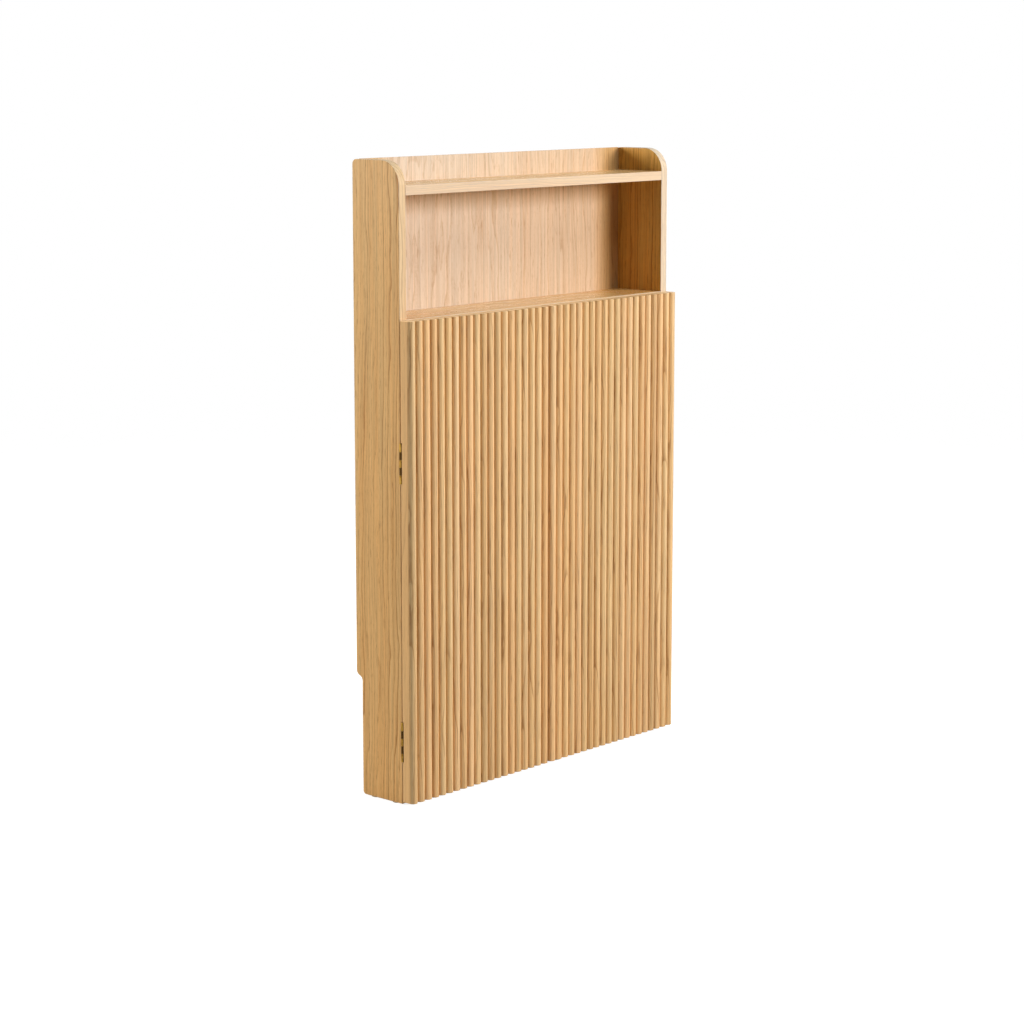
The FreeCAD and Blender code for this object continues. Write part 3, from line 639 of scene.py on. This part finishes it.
# the door leaves' brass is darker round the barrel: painted shade
shaded_brass = metal("brass_with_painted_shade", *BRASS_FINISH, barrel_shade=srgb(92, 66, 32))
zinc = metal("zinc_steel", srgb(205, 207, 210), srgb(184, 187, 192), (300, 1200, 1200), 0.28)
nylon = moulded("glide_nylon", srgb(232, 228, 216), srgb(214, 208, 194), 0.45)
rubber = moulded("bumper_rubber", srgb(46, 45, 44), srgb(34, 33, 32), 0.65)
catch_shell = moulded("catch_shell", srgb(120, 86, 54), srgb(104, 72, 44), 0.42)

FITTINGS = {
    "beech_dowel": beech, "brass": brass, "steel": zinc,
    "nylon": nylon, "rubber": rubber, "catch_plastic": catch_shell,
}
for row in frame["record"]["subparts"]:
    if row["material_slot"] in FITTINGS:
        # door leaves take the brass with painted shade round the barrel
        shaded_leaf = row["node"].endswith("_door_leaf")
        dress(row["node"], shaded_brass if shaded_leaf else FITTINGS[row["material_slot"]])
        ease_edges(row["node"], FITTING_EASE, segments=2)


def solid_boxes(name):
    """The lowest and highest corners of each loose solid in a CAD node."""
    mesh = nodes[name].data
    spots = [tuple(round(level, 6) for level in vertex.co) for vertex in mesh.vertices]
    heads = {spot: spot for spot in spots}

    def head(spot):
        while heads[spot] != spot:
            spot = heads[spot]
        return spot

    for face in mesh.polygons:
        first, *others = (spots[number] for number in face.vertices)
        for other in others:
            heads[head(other)] = head(first)
    solids = {}
    for spot in heads:
        solids.setdefault(head(spot), []).append(spot)
    boxes = ((Vector(map(min, zip(*solid))), Vector(map(max, zip(*solid)))) for solid in solids.values())
    return sorted(boxes, key=lambda box: tuple(box[0]))


def side_faces(lower, upper):
    """The outward quads between two rings of point numbers that run counterclockwise."""
    count = len(lower)
    return [(lower[n], lower[(n + 1) % count], upper[(n + 1) % count], upper[n]) for n in range(count)]


# shares that shape a cross-recess screw
CROSS_REACH = 0.62  # of the head's radius
CROSS_HALF_WIDTH = 0.16  # of the head's radius
RIM_EASE = 0.06  # of the head's radius
PIT_WIDTH = 0.6  # of the cross
PIT_DEPTH = 0.7  # of the countersink
TIP_WIDTH = 0.15  # of the shank
SCREW_SIDES = 24  # twice the corners of the cross, so that its faces meet the rim evenly


def cross_screw(radius, shank, sink, length):
    """A countersunk screw with a cross recess, its head up at the origin: (points, faces)."""
    points = []

    def ring(flat, height):
        points.extend(Vector((x, y, height)) for x, y in flat)
        return list(range(len(points) - len(flat), len(points)))

    def circle(reach, height):
        turns = [math.tau * (n - 1) / SCREW_SIDES for n in range(SCREW_SIDES)]
        return ring([(reach * math.cos(turn), reach * math.sin(turn)) for turn in turns], height)

    arm, half = CROSS_REACH * radius, CROSS_HALF_WIDTH * radius
    cross = []
    for ahead, aside in ((1, 0), (0, 1), (-1, 0), (0, -1)):
        for far, off in ((arm, -half), (arm, half), (half, half)):
            cross.append((far * ahead - off * aside, far * aside + off * ahead))
    recess = ring(cross, 0.0)
    pit = ring([(PIT_WIDTH * x, PIT_WIDTH * y) for x, y in cross], -PIT_DEPTH * sink)
    rim = circle((1 - RIM_EASE) * radius, 0.0)
    brim = circle(radius, -RIM_EASE * radius)
    neck = circle(shank, -sink)
    end = circle(shank, 2 * shank - length)
    tip = circle(TIP_WIDTH * shank, -length)
    faces = []
    for n, corner in enumerate(recess):
        next_corner = recess[(n + 1) % len(recess)]
        rim_run = (rim[2 * n], rim[2 * n + 1], rim[(2 * n + 2) % SCREW_SIDES])
        faces.append((*rim_run, next_corner, corner))
    for lower, upper in ((recess, pit), (brim, rim), (neck, brim), (end, neck), (tip, end)):
        faces.extend(side_faces(lower, upper))
    return points, faces + [tuple(pit), tuple(reversed(tip))]


def add_piece(name, points, faces, material, body):
    """A new piece that moves with a body and takes its finish from a slot."""
    mesh = bpy.data.meshes.new(name)
    mesh.from_pydata(points, [], faces)
    mesh.materials.append(material)
    piece = bpy.data.objects.new(name, mesh)
    bpy.context.scene.collection.objects.link(piece)
    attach(piece, body)
    return piece


SCREW_TURN = 2.4  # radians from one screw's cross to the next one's


def add_screws(name, spots, facing, screw, material, body):
    """Screws at several spots, each left at its own turn, as one piece."""
    points, faces = [], []
    upright = Vector((0, 0, 1)).rotation_difference(Vector(facing)).to_matrix()
    for number, spot in enumerate(spots):
        turn = upright @ Matrix.Rotation(SCREW_TURN * number, 3, "Z")
        start = len(points)
        points.extend(spot + turn @ point for point in screw[0])
        faces.extend(tuple(start + corner for corner in face) for face in screw[1])
    return add_piece(name, points, faces, material, body)


COUNTERSINK = 0.54  # depth of a screw head as a share of its radius


def recut_screws(name, facing, material, body):
    """Cross-recess screws in place of a CAD node's plain ones, which lie along Y."""
    boxes = solid_boxes(name)
    low, high = boxes[0]
    radius = (high.x - low.x) / 2
    screw = cross_screw(radius, radius / 2, COUNTERSINK * radius, high.y - low.y)
    spots = []
    for low, high in boxes:
        middle = (low + high) / 2
        middle.y = low.y if facing < 0 else high.y
        spots.append(middle)
    piece = add_screws(f"cross_recess_{name}", spots, (0, facing, 0), screw, material, body)
    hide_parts(name)


# pole plates of a magnetic catch: levels and length are shares of the catch
POLE_LEVELS = (0.32, 0.68)
POLE_LENGTH = 0.8
POLE_DEPTH = 4.3 * MM
POLE_THICKNESS = 1.5 * MM
POLE_MIDDLE = 2 * MM  # from the front of the catch
POLE_EASE = 0.2 * MM
# screws of a catch: places are shares of its length and depth
CATCH_SCREW_ALONG = (0.13, 0.87)
CATCH_SCREW_BACK = 0.55
CATCH_SCREW_PROUD = 0.5 * MM
STRIKE_SCREW_PROUD = 0.12 * MM


def add_catch_fittings():
    """Pole plates and fixing screws on the magnetic catches, and a screw in each strike plate."""
    form = bmesh.new()
    spots = []
    for low, high in solid_boxes("magnetic_catches"):
        size = high - low
        for level in POLE_LEVELS:
            centre = Vector((low.x + size.x / 2, low.y + POLE_MIDDLE, low.z + level * size.z))
            plate = Matrix.Diagonal((POLE_LENGTH * size.x, POLE_DEPTH, POLE_THICKNESS, 1.0))
            bmesh.ops.create_cube(form, size=1.0, matrix=Matrix.Translation(centre) @ plate)
        for share in CATCH_SCREW_ALONG:
            back = low.y + CATCH_SCREW_BACK * size.y
            spots.append(Vector((low.x + share * size.x, back, high.z + CATCH_SCREW_PROUD)))
    bmesh.ops.bevel(form, geom=form.edges[:], offset=POLE_EASE, segments=2, affect="EDGES")
    points = [vertex.co.copy() for vertex in form.verts]
    faces = [tuple(vertex.index for vertex in face.verts) for face in form.faces]
    form.free()
    add_piece("catch_pole_plates", points, faces, zinc, "cabinet")
    screw = cross_screw(radius=2.6 * MM, shank=1.3 * MM, sink=1.6 * MM, length=10 * MM)
    add_screws("catch_screws", spots, (0, 0, 1), screw, zinc, "cabinet")
    for side in ("left", "right"):
        low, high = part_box(f"{side}_strike_plate")
        middle = (low + high) / 2
        middle.y = high.y + STRIKE_SCREW_PROUD
        add_screws(f"{side}_strike_screw", [middle], (0, 1, 0), screw, zinc, f"{side}_door")


for side in ("left", "right"):
    recut_screws(f"{side}_hinge_cabinet_screws", -1, brass, "cabinet")
    recut_screws(f"{side}_hinge_door_screws", 1, brass, f"{side}_door")
recut_screws("back_panel_screws", 1, zinc, "cabinet")
add_catch_fittings()


FLOOR_REACH = 6.0
FLOOR_FADE = (1.0, 4.0)  # from the desk: the floor starts to fade, and is gone
FLOOR_GREY = 0.45
FLOOR_GLOW = 0.86


def studio_floor():
    """A plain pale floor that fades into the white round it."""
    mesh = bpy.data.meshes.new("studio_floor")
    corners = [(FLOOR_REACH * x, FLOOR_REACH * y, 0) for x, y in ((-1, -1), (1, -1), (1, 1), (-1, 1))]
    mesh.from_pydata(corners, [], [(0, 1, 2, 3)])
    floor = bpy.data.objects.new("studio_floor", mesh)
    bpy.context.scene.collection.objects.link(floor)
    material, tree, shader = start_material("pale_floor")
    shader.inputs["Base Color"].default_value = (FLOOR_GREY, FLOOR_GREY, FLOOR_GREY, 1.0)
    shader.inputs["Roughness"].default_value = 0.8
    shader.inputs["Emission Color"].default_value = WHITE
    # the floor glows for the eye alone, so that it stays white without lighting the desk from below
    seen = node(tree, "ShaderNodeLightPath").outputs["Is Camera Ray"]
    feed(tree, shader.inputs["Emission Strength"], maths(tree, "MULTIPLY", seen, FLOOR_GLOW))
    far = fade(tree, vectors(tree, "LENGTH", model_position(tree)), *FLOOR_FADE)
    clear = node(tree, "ShaderNodeBsdfTransparent")
    mix = node(tree, "ShaderNodeMixShader", {0: far, 1: shader.outputs[0], 2: clear.outputs[0]})
    feed(tree, tree.nodes["Material Output"].inputs["Surface"], mix.outputs[0])
    mesh.materials.append(material)


LAMP_DISTANCE = 4.0


def softbox(name, azimuth, elevation, size, brightness, colour):
    """A square lamp aimed at the desk's middle. Azimuth 0 is straight in front, positive to the right.

    Brightness is what a white card facing the lamp shows.
    """
    lamp = bpy.data.lights.new(name, "AREA")
    lamp.size = size
    lamp.color = colour
    lamp.energy = brightness * (math.pi * LAMP_DISTANCE) ** 2
    turn, rise = math.radians(azimuth), math.radians(elevation)
    level = math.cos(rise)
    away = Vector((math.sin(turn) * level, -math.cos(turn) * level, math.sin(rise)))
    obj = bpy.data.objects.new(name, lamp)
    obj.location = (cad_box[0] + cad_box[1]) / 2 + away * LAMP_DISTANCE
    obj.rotation_euler = away.to_track_quat("Z", "Y").to_euler()
    bpy.context.scene.collection.objects.link(obj)


ROOM_MIRRORED = 0.94  # how white the room is in the desk's reflections
ROOM_LIGHT = (0.05, 0.036, 0.018, 1.0)


def studio_light():
    """A soft key from the front right, a warm fill from the left rear, a cool top light and a room."""
    softbox("key_light", azimuth=25, elevation=18, size=1.4, brightness=1.04, colour=(1.0, 0.98, 0.97))
    softbox("fill_light", azimuth=-132, elevation=18, size=1.2, brightness=0.8, colour=(1.0, 0.91, 0.77))
    softbox("top_light", azimuth=10, elevation=62, size=1.6, brightness=0.5, colour=(0.76, 0.95, 1.12))
    world = bpy.data.worlds.new("white_studio")
    world.use_nodes = True
    tree = world.node_tree
    ground = tree.nodes["Background"]
    # white behind the desk and in reflections that the eye sees, and only a little of it as light
    path = node(tree, "ShaderNodeLightPath").outputs
    mirrored = maths(tree, "MULTIPLY", path["Is Glossy Ray"], ROOM_MIRRORED)
    unscattered = maths(tree, "LESS_THAN", path["Diffuse Depth"], 0.5)
    mirrored = maths(tree, "MULTIPLY", mirrored, unscattered)
    seen = maths(tree, "MAXIMUM", path["Is Camera Ray"], mirrored)
    feed(tree, ground.inputs["Color"], blend(tree, seen, ROOM_LIGHT, WHITE))
    bpy.context.scene.world = world


CAMERA_PLACE = (-3.111, -2.753, 1.167)
CAMERA_HEADING = math.radians(48.25)  # from straight towards the wall, to the right
CAMERA_DIP = math.radians(8.43)
CAMERA_LENS = 90.6  # focal length in millimetres
CAMERA_SHIFT = -0.08  # upright, as a share of the picture


def photo_camera():
    """The camera at the photograph's place, heading and framing."""
    lens = bpy.data.cameras.new("photo_camera")
    lens.lens = CAMERA_LENS
    lens.shift_y = CAMERA_SHIFT
    camera = bpy.data.objects.new("photo_camera", lens)
    camera.location = CAMERA_PLACE
    camera.rotation_euler = (math.pi / 2 - CAMERA_DIP, 0.0, -CAMERA_HEADING)
    bpy.context.scene.collection.objects.link(camera)
    bpy.context.scene.camera = camera


studio_floor()
studio_light()
photo_camera()
bpy.context.scene.view_settings.view_transform = "Standard"
